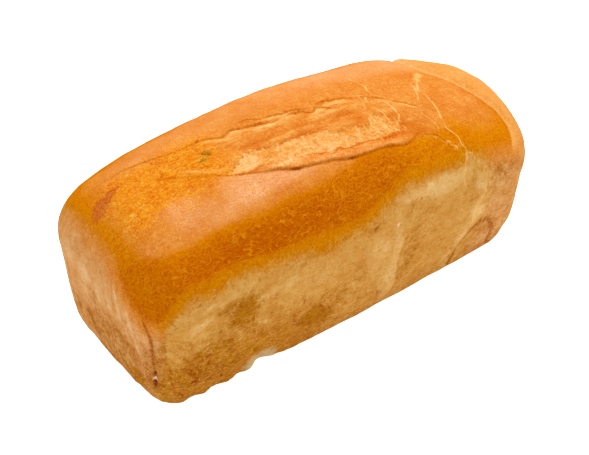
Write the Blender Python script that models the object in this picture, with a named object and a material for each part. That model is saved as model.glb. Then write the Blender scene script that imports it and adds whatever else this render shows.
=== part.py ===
"""An uncut white tin loaf: straight walls from the tin, a domed top that tore open while it baked.

X runs along the loaf, from the square end at -X to the rounder end at +X. The loaf stands on
z = 0, and the origin is under the middle of its box. The tears run along the -Y half of the dome.
"""

import bmesh
import bpy
import numpy as np

METRES = 0.001  # every size below is in millimetres

# The tin's share of the shape.
HALF_LENGTH = 120.0  # half the length of the base
BASE_HALF = 43.0  # half the width of the base
RIM_HALF = 55.5  # half the width at the tin's rim
RIM_HEIGHT = 55.0  # how high the straight wall reaches before the middle springs
HEEL = 8.0  # radius of the long bottom edges
NEAR_LEAN, FAR_LEAN = 6.5, 9.0  # how far each end leans outwards by the rim
NEAR_BULGE, FAR_BULGE = 3.5, 5.0  # how far the middle of each end swells
BARREL = 0.045  # share by which the middle is wider than the ends

# The radii that join each end to the walls, the top and the base.
NEAR_SIDE, NEAR_TOP = 21.0, 23.0
FAR_SIDE, FAR_TOP = 32.0, 11.0
END_FOOT = 9.0
EYE_HEIGHT = 50.0  # height of the lengthwise line that the rings are drawn around

# The dome that rose above the rim.
CROWN = 30.0  # height of the dome over the wall
CROWN_POWER = 2.1  # 2 is an ellipse, more is squarer
SPRING = 30.0  # how much higher the loaf sprang at its highest place
SPRING_AT = -15.0  # where along the loaf that is
SPRING_REACH = 1.15  # how far the spring reaches, in half lengths

# Where the flat base, the heel and the wall end, as shares of the way from the base's middle
# to the top's middle.
FLAT_END, HEEL_END, WALL_END = 0.14, 0.22, 0.47
# Where each end face and each end's bend end, as shares of the way along.
FACE_END, BEND_END = 0.13, 0.27
RINGS, COLUMNS = 54, 90  # of the mesh, along the loaf and round it
CROWN_GIRTH = 283.0  # the dome's girth for a whole turn

# The two tears: (along, girth), where girth runs round the dome from its ridge, negative to -Y.
UPPER_TEAR = (
    (-97, 23.5), (-83, 18.5), (-70, 13), (-56, 11), (-48, 7), (-40, 7.3), (-30, 4.8), (-20, 3.5),
    (0, 1.3), (15, 0.8), (26, -0.3), (37, -2.5), (50, -10.5), (64, -22),
)
LOWER_TEAR = (
    (-92, 6), (-76, -3), (-60, -13.5), (-43, -21.5), (-24, -28), (0, -33.3), (20, -34.5),
    (35, -36.5), (46, -33), (58, -38), (64, -46),
)

UPPER_DEPTH, UPPER_WIDTH = 2.0, 1.1
LOWER_DEPTH, LOWER_WIDTH = 2.2, 1.1
ROLL_HEIGHT, ROLL_WIDTH = 2.4, 8.0  # the rounded lip that hangs over the lower tear
LIP_HEIGHT, LIP_WIDTH = 0.9, 3.0  # the ragged lips of the upper tear
TORN_DEPTH, TORN_WIDTH = 1.3, 12.0  # the torn hollow between the roll and the skin

# The groove where the last of the dough pushed out past the tin's far end: (across, along).
RIM_GROOVE = ((-53, 101), (-43, 109), (-20, 108), (-3, 102), (15, 94), (29, 91), (40, 93), (50, 98))
GROOVE_DEPTH, GROOVE_WIDTH = 1.8, 2.2
RIM_ROLL = 1.5  # how far the dough beyond the groove swells

# Broad swellings of the crust: along, girth, half length, half girth and height.
SWELLS = (
    (76, 40, 26, 26, 2.3), (-92, 47, 40, 16, 1.3), (119, 12, 12, 16, 1.5), (121, -68, 12, 10, -0.3),
    (2, -114, 30, 12, 0.6), (122, -22, 10, 20, -0.3), (-123, 55, 12, 14, 1.0), (-22, 41, 28, 14, -0.3),
)

# The fold down the near corner, as the share of the near bend where it lies.
FOLD_AT, FOLD_DEPTH, FOLD_WIDTH = 0.32, 1.4, 0.05
# The creases and ridges of the far wall: (up, along).
FAR_CREASE = ((10, 64), (25, 69), (35, 73), (39, 83))
FAR_RIDGE = ((10, 61), (36, 67), (50, 72), (61, 76), (80, 78))
MIDDLE_RIDGE = ((10, 25), (35, 22), (53, 22), (66, 24), (80, 28))
CREASE_DEPTH, CREASE_WIDTH = 1.2, 3.0
RIDGE_HEIGHT, RIDGE_WIDTH = 1.2, 6.0

# The unbaked hollow in the bottom edge, where the dough never filled the tin's corner.
HOLLOW_FROM, HOLLOW_TO, HOLLOW_DEPTH, HOLLOW_REACH = -71.0, -45.0, 3.3, 8.0
EDGE_LUMP, EDGE_STEP = 0.8, 14.0  # the lumps of the edge on both sides of it
WALL_WAVE = 0.7  # how uneven the walls are


def ease(x):
    """Rises from 0 to 1 with level ends."""
    x = np.clip(x, 0.0, 1.0)
    return x * x * (3.0 - 2.0 * x)


def between(start, end, x):
    return ease((x - start) / (end - start))


def window(x, start, full, fade, end):
    """1 from full to fade, 0 before start and after end."""
    return between(start, full, x) * (1.0 - between(fade, end, x))


def bell(x, width):
    return np.exp(-((x / width) ** 2))


def route(points, x):
    """A smooth curve through a route's points: its second number where the first is x."""
    places, values = np.array(points, float).T
    slopes = np.gradient(values, places)
    x = np.clip(x, places[0], places[-1])
    first = np.clip(np.searchsorted(places, x) - 1, 0, len(places) - 2)
    gap = places[first + 1] - places[first]
    t = (x - places[first]) / gap
    straight = values[first] + (values[first + 1] - values[first]) * ease(t)
    start, end = t * (1 - t) ** 2 * slopes[first], t * t * (1 - t) * slopes[first + 1]
    return straight + gap * (start - end)


def section(turn):
    """The loaf's outline across its middle: turn 0 is under it, 0.25 the -Y rim, 0.5 the top."""
    side = np.where(turn < 0.5, -1.0, 1.0)
    up = 2.0 * np.where(turn < 0.5, turn, 1.0 - turn)
    flat = np.clip(up / FLAT_END, 0, 1)
    heel = np.clip((up - FLAT_END) / (HEEL_END - FLAT_END), 0, 1) * np.pi / 2
    wall = np.clip((up - HEEL_END) / (WALL_END - HEEL_END), 0, 1)
    dome = np.clip((up - WALL_END) / (1 - WALL_END), 0, 1) * np.pi / 2
    y_foot = flat * (BASE_HALF - HEEL) + HEEL * np.sin(heel)
    y_wall = BASE_HALF + (RIM_HALF - BASE_HALF) * (1 - (1 - wall) ** 1.5)
    y_dome = RIM_HALF * np.cos(dome) ** (2 / CROWN_POWER)
    z_foot = HEEL - HEEL * np.cos(heel)
    z_wall = HEEL + (RIM_HEIGHT - HEEL) * wall
    z_dome = RIM_HEIGHT + CROWN * np.sin(dome) ** (2 / CROWN_POWER)
    low, middle = up < HEEL_END, up < WALL_END
    y = np.where(low, y_foot, np.where(middle, y_wall, y_dome))
    return side * y, np.where(low, z_foot, np.where(middle, z_wall, z_dome))


def loaf_point(way, turn):
    """The smooth loaf: way runs 0 to 1 from the near end's middle to the far end's, turn goes round.

    A ring keeps the section's directions around the eye line. It grows over the near face, turns
    through the near bend, runs straight and closes over the far end the same way.
    """
    y, z = section(turn)
    reach = np.hypot(y, z - EYE_HEIGHT)
    out, up = y / reach, (z - EYE_HEIGHT) / reach
    lift = np.arctan2(up, np.abs(out)) / (np.pi / 2)

    def bend_radius(at_side, at_top):
        return at_side + (at_top - at_side) * ease(lift) + (END_FOOT - at_side) * ease(-lift)

    near, far = bend_radius(NEAR_SIDE, NEAR_TOP), bend_radius(FAR_SIDE, FAR_TOP)
    near_turn = np.clip((way - FACE_END) / (BEND_END - FACE_END), 0, 1) * np.pi / 2
    far_turn = np.clip((1 - way - FACE_END) / (BEND_END - FACE_END), 0, 1) * np.pi / 2
    run = np.clip((way - BEND_END) / (1 - 2 * BEND_END), 0, 1)
    straight = (near - HALF_LENGTH) * (1 - run) + (HALF_LENGTH - far) * run
    x = straight - near * np.cos(near_turn) + far * np.cos(far_turn)
    width = reach - near * (1 - np.sin(near_turn)) - far * (1 - np.sin(far_turn))
    width = width * np.clip(way / FACE_END, 0, 1) * np.clip((1 - way) / FACE_END, 0, 1)
    y, z = width * out, EYE_HEIGHT + width * up

    # The ends lean out as the tin does, and swell in their middles.
    share = x / HALF_LENGTH
    tall = RIM_HEIGHT + CROWN
    swell = np.clip(1 - (y / RIM_HALF) ** 2, 0, 1) * np.sin(np.pi * np.clip(z / tall, 0, 1))
    lean = np.where(x < 0, -NEAR_LEAN, FAR_LEAN)
    bulge = np.where(x < 0, -NEAR_BULGE, FAR_BULGE)
    x = x + lean * ease(np.abs(share)) * np.sin(np.clip(z / (1.25 * RIM_HEIGHT), 0, 1) * np.pi / 2)
    x = x + bulge * between(0.6, 1.0, np.abs(share)) * swell

    # The middle springs higher than the ends, and is a little wider.
    share = x / HALF_LENGTH
    rise = 1 - np.clip(np.abs(share - SPRING_AT / HALF_LENGTH) / SPRING_REACH, 0, 1) ** 2
    z = z + SPRING * rise * between(0.3 * RIM_HEIGHT, tall, z)
    y = y * (1 + BARREL * (1 - share * share))
    return x, y, z


def tear_turn(points, way):
    """Where a tear crosses the ring at way, closed in on by a few rounds."""
    way = np.clip(way, BEND_END, 1 - BEND_END)
    turn = np.full_like(way, 0.45)
    for _ in range(4):
        x, _, _ = loaf_point(way, turn)
        turn = 0.5 + route(points, x) / CROWN_GIRTH
    return turn


def groove_way(turn):
    """Where the rim groove crosses the column at turn, by halving."""
    low, high = np.full_like(turn, 0.5), np.full_like(turn, 0.85)
    for _ in range(12):
        way = (low + high) / 2
        x, y, _ = loaf_point(way, turn)
        before = x < route(RIM_GROOVE, y)
        low, high = np.where(before, way, low), np.where(before, high, way)
    return (low + high) / 2


def spread(marks, number):
    """The place of a ring or a column: marks give some numbers' places, the rest lie evenly."""
    place = np.zeros_like(number)
    for (start, low), (end, high) in zip(marks[:-1], marks[1:]):
        inside = (number >= start) & (number <= end)
        place = np.where(inside, low + (high - low) * (number - start) / (end - start), place)
    return place


def column_turn(way, column):
    """The turn of each column: some stay close to the tears, so that those stay sharp."""
    lower, upper = tear_turn(LOWER_TEAR, way), tear_turn(UPPER_TEAR, way)
    rim, gap = WALL_END / 2, 1.7 / CROWN_GIRTH
    return spread((
        (0, 0.0), (3, FLAT_END / 2), (6, HEEL_END / 2), (13, rim),
        (27, lower - gap), (29, lower), (31, lower + gap),
        (48, upper - gap), (50, upper), (52, upper + gap),
        (77, 1 - rim), (84, 1 - HEEL_END / 2), (87, 1 - FLAT_END / 2), (90, 1.0),
    ), column)


def ring_way(turn, ring):
    """The way of each ring: some stay close to the corner fold, and some to the rim groove."""
    groove, gap = groove_way(turn), 0.006
    fold = FACE_END + (BEND_END - FACE_END) * FOLD_AT
    return spread((
        (0, 0.0), (4, FACE_END), (6, fold - gap), (7, fold), (8, fold + gap), (12, BEND_END),
        (37, groove - gap), (38, groove), (39, groove + gap),
        (49, 1 - FACE_END), (54, 1.0),
    ), ring)


def tear_relief(x, girth):
    """The two tears, the roll over the lower one and the torn hollow between them."""
    over_lower, over_upper = girth - route(LOWER_TEAR, x), girth - route(UPPER_TEAR, x)
    deep = window(x, -105, -40, 38, 64)
    upper = -UPPER_DEPTH * deep * bell(over_upper, UPPER_WIDTH)
    lips = LIP_HEIGHT * deep * bell(np.abs(over_upper) - LIP_WIDTH, LIP_WIDTH / 2)

    open_lower = window(x, -50, -24, 40, 60)
    faint_lower = window(x, -103, -70, -50, -30) * 0.3
    lower = -LOWER_DEPTH * (open_lower + faint_lower) * bell(over_lower + 0.4, LOWER_WIDTH)
    shape = np.sin(np.pi * np.clip(over_lower / ROLL_WIDTH, 0, 1) ** 0.6)
    roll = ROLL_HEIGHT * open_lower * shape
    torn = bell(over_lower - ROLL_WIDTH - TORN_WIDTH / 2, TORN_WIDTH / 2)
    hollow = -TORN_DEPTH * window(x, -55, -30, 20, 42) * torn
    return upper + lips + lower + roll + hollow


def end_relief(x, y, z):
    """The groove round the far end, and the roll of dough beyond it."""
    past = x - route(RIM_GROOVE, y)
    groove = GROOVE_DEPTH * between(70, 84, z) * bell(past, GROOVE_WIDTH)
    return RIM_ROLL * between(50, 68, z) * between(-2, 6, past) - groove


def swell_relief(x, girth):
    """The broad swellings."""
    relief = np.zeros_like(x)
    for along, up, half_length, half_girth, height in SWELLS:
        away = np.hypot((x - along) / half_length, (girth - up) / half_girth)
        relief += height * bell(away, 0.8)
    return relief


def fold_relief(y, z, way):
    """The fold down the near corner on the -Y side."""
    across = (way - FACE_END) / (BEND_END - FACE_END) - FOLD_AT
    return -FOLD_DEPTH * bell(across, FOLD_WIDTH) * window(z, 14, 26, 60, 74) * (y < 0)


def wall_relief(x, y, z):
    """The creases and ridges of the far wall, and slow waves all round."""
    relief = np.zeros_like(x)
    shown = between(-35, -45, y)
    crease = bell(x - route(FAR_CREASE, z), CREASE_WIDTH) * window(z, 4, 12, 32, 42)
    relief -= CREASE_DEPTH * crease * shown
    far_ridge = bell(x - route(FAR_RIDGE, z), RIDGE_WIDTH) * window(z, 6, 30, 66, 84)
    middle = bell(x - route(MIDDLE_RIDGE, z), RIDGE_WIDTH) * window(z, 6, 22, 60, 78)
    relief += RIDGE_HEIGHT * (far_ridge + 0.7 * middle) * shown
    wave = np.sin(x / 19.0 + 1.3) * np.sin(z / 13.0 + 0.5) + 0.6 * np.sin(x / 9.0 + z / 17.0)
    return relief + WALL_WAVE * wave * window(z, 6, 20, 60, 90)


def edge_relief(x, y, z):
    """The lumpy bottom edge on the -Y side."""
    edge = window(z, 0.5, 3.0, 6.0, 14.0) * between(-34, -40, y)
    lumps = EDGE_LUMP * np.sin(2 * np.pi * x / EDGE_STEP + 0.8)
    return edge * lumps * window(x, -115, -100, -60, -30)


def hollow_relief(x, y, z):
    """The hollow, deepest at the corner itself."""
    reach = bell(np.hypot(y + BASE_HALF, z), HOLLOW_REACH)
    return -HOLLOW_DEPTH * reach * window(x, HOLLOW_FROM, HOLLOW_FROM + 7, HOLLOW_TO - 14, HOLLOW_TO)


def read_places(mesh):
    places = np.empty(len(mesh.vertices) * 3)
    mesh.vertices.foreach_get("co", places)
    return places.reshape(-1, 3)


def write_places(mesh, places):
    mesh.vertices.foreach_set("co", places.astype(np.float32).ravel())
    mesh.update()


def sphere_mesh(name):
    """A sphere whose poles become the middles of the two ends."""
    mesh = bpy.data.meshes.new(name)
    bm = bmesh.new()
    bmesh.ops.create_uvsphere(bm, u_segments=COLUMNS, v_segments=RINGS, radius=1.0)
    bm.to_mesh(mesh)
    bm.free()
    return mesh


def shape_loaf(mesh):
    """Moves the sphere's points onto the loaf, then in or out along its normals."""
    x, y, z = read_places(mesh).T
    ring = np.round(np.arccos(np.clip(z, -1, 1)) / np.pi * RINGS, 2)
    column = np.round(np.arctan2(y, x) / (2 * np.pi) * COLUMNS, 2) % COLUMNS
    way = ring_way(column_turn(ring / RINGS, column), ring)
    turn = column_turn(way, column)
    x, y, z = loaf_point(way, turn)
    write_places(mesh, np.stack((x, y, z), axis=1))

    normals = np.empty(len(mesh.vertices) * 3)
    mesh.vertices.foreach_get("normal", normals)
    girth = (turn - 0.5) * CROWN_GIRTH
    relief = tear_relief(x, girth) + swell_relief(x, girth) + end_relief(x, y, z)
    relief += fold_relief(y, z, way) + wall_relief(x, y, z) + edge_relief(x, y, z)
    relief = relief * between(0.0, 3.0, z) + hollow_relief(x, y, z)
    places = np.stack((x, y, z), axis=1) + normals.reshape(-1, 3) * relief[:, None]
    places[:, 0] -= (places[:, 0].min() + places[:, 0].max()) / 2
    places[:, 1] -= (places[:, 1].min() + places[:, 1].max()) / 2
    places[:, 2] = np.maximum(places[:, 2], 0.0)
    write_places(mesh, places * METRES)


def crust_material():
    """Baked crust, between the pale walls and the brown top."""
    material = bpy.data.materials.new("crust")
    material.use_nodes = True
    shader = material.node_tree.nodes["Principled BSDF"]
    shader.inputs["Base Color"].default_value = (0.68, 0.30, 0.07, 1.0)
    shader.inputs["Roughness"].default_value = 0.6
    shader.inputs["Metallic"].default_value = 0.0
    return material


def build_loaf(collection):
    mesh = sphere_mesh("loaf")
    shape_loaf(mesh)
    mesh.materials.append(crust_material())
    mesh.shade_smooth()
    collection.objects.link(bpy.data.objects.new("loaf", mesh))


def main():
    for item in list(bpy.data.objects):
        bpy.data.objects.remove(item)
    collection = bpy.data.collections.new("tin_loaf")
    bpy.context.scene.collection.children.link(collection)
    build_loaf(collection)


main()
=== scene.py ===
import math

import bpy
import numpy as np
from mathutils import Matrix, Vector


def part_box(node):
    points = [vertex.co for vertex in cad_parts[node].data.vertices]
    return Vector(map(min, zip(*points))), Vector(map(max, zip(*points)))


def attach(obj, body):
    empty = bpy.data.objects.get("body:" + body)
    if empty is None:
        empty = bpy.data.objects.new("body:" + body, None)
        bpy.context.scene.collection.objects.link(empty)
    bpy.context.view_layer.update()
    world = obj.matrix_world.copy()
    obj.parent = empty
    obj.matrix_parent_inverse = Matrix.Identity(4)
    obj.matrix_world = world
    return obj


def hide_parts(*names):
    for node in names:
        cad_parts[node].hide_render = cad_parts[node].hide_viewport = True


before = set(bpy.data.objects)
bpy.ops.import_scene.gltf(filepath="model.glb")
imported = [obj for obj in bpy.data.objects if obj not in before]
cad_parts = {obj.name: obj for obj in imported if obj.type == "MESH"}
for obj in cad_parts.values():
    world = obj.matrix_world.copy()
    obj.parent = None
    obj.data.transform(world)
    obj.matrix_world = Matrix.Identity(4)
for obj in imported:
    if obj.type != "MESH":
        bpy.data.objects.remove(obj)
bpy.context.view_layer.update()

# A white tin loaf. X runs along it, from the square end to the round one, and the dome tore
# open on its -Y half. Lengths are in millimetres until the mesh is made.
metres = 0.001
cadLow, cadHigh = (np.array(corner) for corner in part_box("loaf"))


def ease(x):  # 3x^2 - 2x^3: 0 to 1 with level ends
    x = np.clip(x, 0.0, 1.0)
    return x * x * (3.0 - 2.0 * x)


def between(start, end, x):  # eases from 0 at start to 1 at end
    return ease((x - start) / (end - start))


def window(x, start, full, fade, end):  # 1 from full to fade, 0 outside start and end
    return between(start, full, x) * (1.0 - between(fade, end, x))


def bell(x, width):  # e to the power of minus (x / width) squared
    return np.exp(-((x / width) ** 2))


def route(points, x):
    # A cubic between each two points, at their slopes: the second number where the first is x.
    places, values = np.array(points, float).T
    slopes = np.gradient(values, places)
    x = np.clip(x, places[0], places[-1])
    first = np.clip(np.searchsorted(places, x) - 1, 0, len(places) - 2)
    gap = places[first + 1] - places[first]
    t = (x - places[first]) / gap
    straight = values[first] + (values[first + 1] - values[first]) * ease(t)
    start, end = t * (1 - t) ** 2 * slopes[first], t * t * (1 - t) * slopes[first + 1]
    return straight + gap * (start - end)


latticeSize = 64
lattice = np.random.default_rng(7).random((latticeSize, latticeSize, latticeSize))


def grain(place, size, layer=0):
    # Random numbers on a lattice with cells this big, eased between its eight corners: -1 to 1.
    p = place / np.reshape(size, (-1, 1, 1)) + 11.37 * (layer + 1)
    low = np.floor(p).astype(int)
    part = ease(p - low)
    total = 0.0
    for corner in range(8):
        step = np.array([(corner >> axis) & 1 for axis in range(3)]).reshape(3, 1, 1)
        i, j, k = (low + step) % latticeSize
        share = np.where(step == 1, part, 1 - part)
        total = total + lattice[i, j, k] * share[0] * share[1] * share[2]
    return 2 * total - 1


def cloud(place, size, octaves, layer=0):
    # Each layer of grain is half as big and half as strong as the one before.
    size = np.broadcast_to(np.asarray(size, float), (3,))
    parts = [grain(place, size / 2 ** n, layer + n) / 2 ** n for n in range(octaves)]
    return sum(parts) / (2 - 0.5 ** (octaves - 1))


loaf = {
    "halfLength": 120.0, "baseHalf": 43.0, "rimHalf": 55.5, "rimHeight": 55.0, "heel": 8.0,
    "wallPower": 1.5, "leanHeight": 68.75, "swellFrom": 0.6, "springFoot": 16.5,
    "nearLean": 6.5, "farLean": 9.0, "nearBulge": 3.5, "farBulge": 5.0, "barrel": 0.045,
    "nearSide": 21.0, "nearTop": 23.0, "farSide": 32.0, "farTop": 11.0, "endFoot": 9.0,
    "eyeHeight": 50.0, "crown": 30.0, "crownPower": 2.1,
    "spring": 30.0, "springAt": -15.0, "springReach": 1.15,
    "flatEnd": 0.14, "heelEnd": 0.22, "wallEnd": 0.47, "faceEnd": 0.13, "bendEnd": 0.27,
    "crownGirth": 283.0,  # the dome's girth for a whole turn
    "rings": 272, "columns": 362,
}


def section(turn):
    # Flat base, round heel, leaning wall and elliptic dome, by how far up the half outline it is.
    flatEnd, heelEnd, wallEnd = loaf["flatEnd"], loaf["heelEnd"], loaf["wallEnd"]
    base, rim, radius, rimHeight = loaf["baseHalf"], loaf["rimHalf"], loaf["heel"], loaf["rimHeight"]
    side = np.where(turn < 0.5, -1.0, 1.0)
    up = 2.0 * np.where(turn < 0.5, turn, 1.0 - turn)
    flat = np.clip(up / flatEnd, 0, 1)
    heel = np.clip((up - flatEnd) / (heelEnd - flatEnd), 0, 1) * np.pi / 2
    wall = np.clip((up - heelEnd) / (wallEnd - heelEnd), 0, 1)
    dome = np.clip((up - wallEnd) / (1 - wallEnd), 0, 1) * np.pi / 2
    yFoot = flat * (base - radius) + radius * np.sin(heel)
    yWall = base + (rim - base) * (1 - (1 - wall) ** loaf["wallPower"])
    yDome = rim * np.cos(dome) ** (2 / loaf["crownPower"])
    zFoot = radius - radius * np.cos(heel)
    zWall = radius + (rimHeight - radius) * wall
    zDome = rimHeight + loaf["crown"] * np.sin(dome) ** (2 / loaf["crownPower"])
    low, middle = up < heelEnd, up < wallEnd
    y = np.where(low, yFoot, np.where(middle, yWall, yDome))
    return side * y, np.where(low, zFoot, np.where(middle, zWall, zDome))


def loafPoint(way, turn):
    # A ring keeps the section's directions around the eye line. It grows over the near face,
    # turns through the near bend, runs straight, and closes over the far end the same way.
    y, z = section(turn)
    halfLength = loaf["halfLength"]
    reach = np.hypot(y, z - loaf["eyeHeight"])
    out, up = y / reach, (z - loaf["eyeHeight"]) / reach
    lift = np.arctan2(up, np.abs(out)) / (np.pi / 2)

    def bendRadius(atSide, atTop):
        foot = (loaf["endFoot"] - atSide) * ease(-lift)
        return atSide + (atTop - atSide) * ease(lift) + foot

    near, far = bendRadius(loaf["nearSide"], loaf["nearTop"]), bendRadius(loaf["farSide"], loaf["farTop"])
    face, bend = loaf["faceEnd"], loaf["bendEnd"]
    nearTurn = np.clip((way - face) / (bend - face), 0, 1) * np.pi / 2
    farTurn = np.clip((1 - way - face) / (bend - face), 0, 1) * np.pi / 2
    run = np.clip((way - bend) / (1 - 2 * bend), 0, 1)
    straight = (near - halfLength) * (1 - run) + (halfLength - far) * run
    x = straight - near * np.cos(nearTurn) + far * np.cos(farTurn)
    width = reach - near * (1 - np.sin(nearTurn)) - far * (1 - np.sin(farTurn))
    width = width * np.clip(way / face, 0, 1) * np.clip((1 - way) / face, 0, 1)
    y, z = width * out, loaf["eyeHeight"] + width * up

    # The ends lean out as the tin does, and swell in their middles.
    share = x / halfLength
    tall = loaf["rimHeight"] + loaf["crown"]
    swell = np.clip(1 - (y / loaf["rimHalf"]) ** 2, 0, 1) * np.sin(np.pi * np.clip(z / tall, 0, 1))
    lean = np.where(x < 0, -loaf["nearLean"], loaf["farLean"]) * ease(np.abs(share))
    bulge = np.where(x < 0, -loaf["nearBulge"], loaf["farBulge"])
    x = x + lean * np.sin(np.clip(z / loaf["leanHeight"], 0, 1) * np.pi / 2)
    x = x + bulge * between(loaf["swellFrom"], 1.0, np.abs(share)) * swell

    # The middle springs higher than the ends, and is a little wider.
    share = x / halfLength
    away = np.abs(share - loaf["springAt"] / halfLength) / loaf["springReach"]
    rise = 1 - np.clip(away, 0, 1) ** 2
    z = z + loaf["spring"] * rise * between(loaf["springFoot"], tall, z)
    y = y * (1 + loaf["barrel"] * (1 - share * share))
    return x, y, z


tears = {
    # Along, and girth round the dome from its ridge, negative to -Y.
    "upper": (
        (-97, 23.5), (-83, 18.5), (-70, 13), (-56, 11), (-48, 7), (-40, 7.3), (-30, 4.8), (-20, 3.5),
        (0, 1.3), (15, 0.8), (26, -0.3), (37, -2.5), (50, -10.5), (64, -22),
    ),
    "lower": (
        (-92, 6), (-76, -3), (-60, -13.5), (-43, -21.5), (-24, -28), (0, -33.3), (20, -34.5), (35, -36.5),
        (46, -33), (58, -38), (64, -46),
    ),
    "groove": ((-53, 101), (-43, 109), (-20, 108), (-3, 102), (15, 94), (29, 91), (40, 93), (50, 98)),
    "foldAt": 0.32,
}


def tearTurn(points, way):
    # Where a tear crosses each ring: half a turn plus its girth as a share, closed in on by rounds.
    way = np.clip(way, loaf["bendEnd"], 1 - loaf["bendEnd"])
    turn = np.full_like(way, 0.45)
    for _ in range(4):
        x, _, _ = loafPoint(way, turn)
        turn = 0.5 + route(points, x) / loaf["crownGirth"]
    return turn


def grooveWay(turn):  # where the rim groove crosses each column, by halving
    low, high = np.full_like(turn, 0.5), np.full_like(turn, 0.85)
    for _ in range(12):
        way = (low + high) / 2
        x, y, _ = loafPoint(way, turn)
        before = x < route(tears["groove"], y)
        low, high = np.where(before, way, low), np.where(before, high, way)
    return (low + high) / 2


def spread(marks, number):  # marks give some lines' places, and the rest lie evenly between them
    place = np.zeros_like(number)
    for (start, low), (end, high) in zip(marks[:-1], marks[1:]):
        inside = (number >= start) & (number <= end)
        place = np.where(inside, low + (high - low) * (number - start) / (end - start), place)
    return place


def columnTurn(way, column):  # columns gather at the two tears
    lower, upper = tearTurn(tears["lower"], way), tearTurn(tears["upper"], way)
    rim, gap = loaf["wallEnd"] / 2, 2.0 / loaf["crownGirth"]
    flat, heel = loaf["flatEnd"] / 2, loaf["heelEnd"] / 2
    return spread((
        (0, 0.0), (10, flat), (18, heel), (68, rim),
        (138, lower - gap), (150, lower + gap), (214, upper - gap), (226, upper + gap),
        (306, 1 - rim), (340, 1 - heel), (350, 1 - flat), (362, 1.0),
    ), column)


def ringWay(turn, ring):  # rings gather at the near fold and the rim groove
    groove, gap = grooveWay(turn), 0.012
    face, bend = loaf["faceEnd"], loaf["bendEnd"]
    fold = face + (bend - face) * tears["foldAt"]
    return spread((
        (0, 0.0), (20, face), (25, fold - gap), (33, fold + gap), (46, bend),
        (228, groove - gap), (238, groove + gap), (260, 1 - face), (272, 1.0),
    ), ring)


relief = {
    # Broad swellings: along, girth, half length, half girth and height.
    "swells": (
        (76, 40, 26, 26, 2.3), (-92, 47, 40, 16, 1.3), (119, 12, 12, 16, 1.5), (121, -68, 12, 10, -0.3),
        (2, -114, 30, 12, 0.6), (122, -22, 10, 20, -0.3), (-123, 55, 12, 14, 1.0), (-22, 41, 28, 14, -0.3),
    ),
    "grooveDepth": 1.1, "grooveWidth": 2.6, "rimRoll": 1.5,
    "foldDepth": 1.4, "foldWidth": 0.05,
    "farCrease": ((10, 64), (25, 69), (35, 73), (39, 83)),
    "farRidge": ((10, 61), (36, 67), (50, 72), (61, 76), (80, 78)),
    "middleRidge": ((10, 23), (35, 21), (53, 21), (66, 24), (80, 29)),
    "creaseDepth": 1.4, "creaseWidth": 1.6, "ridgeHeight": 1.4, "ridgeWidth": 5.0,
    "hollowFrom": -71.0, "hollowTo": -45.0, "hollowDepth": 3.3, "hollowReach": 8.0,
    "edgeLump": 0.8, "edgeStep": 14.0, "wallWave": 0.7,
}


def swellRelief(x, girth):  # the sum of bells over ovals
    return sum(height * bell(np.hypot((x - along) / long_, (girth - up) / wide), 0.8)
               for along, up, long_, wide, height in relief["swells"])


def endRelief(x, y, z):  # a bell sunk along the rim groove, and a low roll past it
    past = x - route(tears["groove"], y)
    groove = relief["grooveDepth"] * between(70, 84, z) * bell(past, relief["grooveWidth"])
    return relief["rimRoll"] * between(50, 68, z) * between(-2, 6, past) - groove


def foldRelief(y, z, way):  # a bell sunk down the near corner
    across = (way - loaf["faceEnd"]) / (loaf["bendEnd"] - loaf["faceEnd"]) - tears["foldAt"]
    return -relief["foldDepth"] * bell(across, relief["foldWidth"]) * window(z, 14, 26, 60, 74) * (y < 0)


def wallRelief(x, y, z):
    # Bells along routes that climb the far wall, one sunk and two raised, on slow sine waves.
    shown = between(-35, -45, y)
    crease = bell(x - route(relief["farCrease"], z), relief["creaseWidth"]) * window(z, 4, 12, 32, 42)
    farRidge = bell(x - route(relief["farRidge"], z), relief["ridgeWidth"]) * window(z, 6, 30, 66, 84)
    middle = bell(x - route(relief["middleRidge"], z), relief["ridgeWidth"]) * window(z, 6, 22, 60, 78)
    ridges = relief["ridgeHeight"] * (farRidge + middle) - relief["creaseDepth"] * crease
    wave = np.sin(x / 19.0 + 1.3) * np.sin(z / 13.0 + 0.5) + 0.6 * np.sin(x / 9.0 + z / 17.0)
    return ridges * shown + relief["wallWave"] * wave * window(z, 6, 20, 60, 90)


def edgeRelief(x, y, z):  # a sine of X crumples the lower -Y edge
    edge = window(z, 0.5, 3.0, 6.0, 14.0) * between(-34, -40, y)
    lumps = relief["edgeLump"] * np.sin(2 * np.pi * x / relief["edgeStep"] + 0.8)
    return edge * lumps * window(x, -115, -100, -60, -30)


def hollowRelief(x, y, z):
    # A bell of the distance from the tin's corner, where the dough never filled it.
    start, end = relief["hollowFrom"], relief["hollowTo"]
    reach = bell(np.hypot(y + loaf["baseHalf"], z), relief["hollowReach"])
    return -relief["hollowDepth"] * reach * window(x, start, start + 7, end - 14, end)


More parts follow.
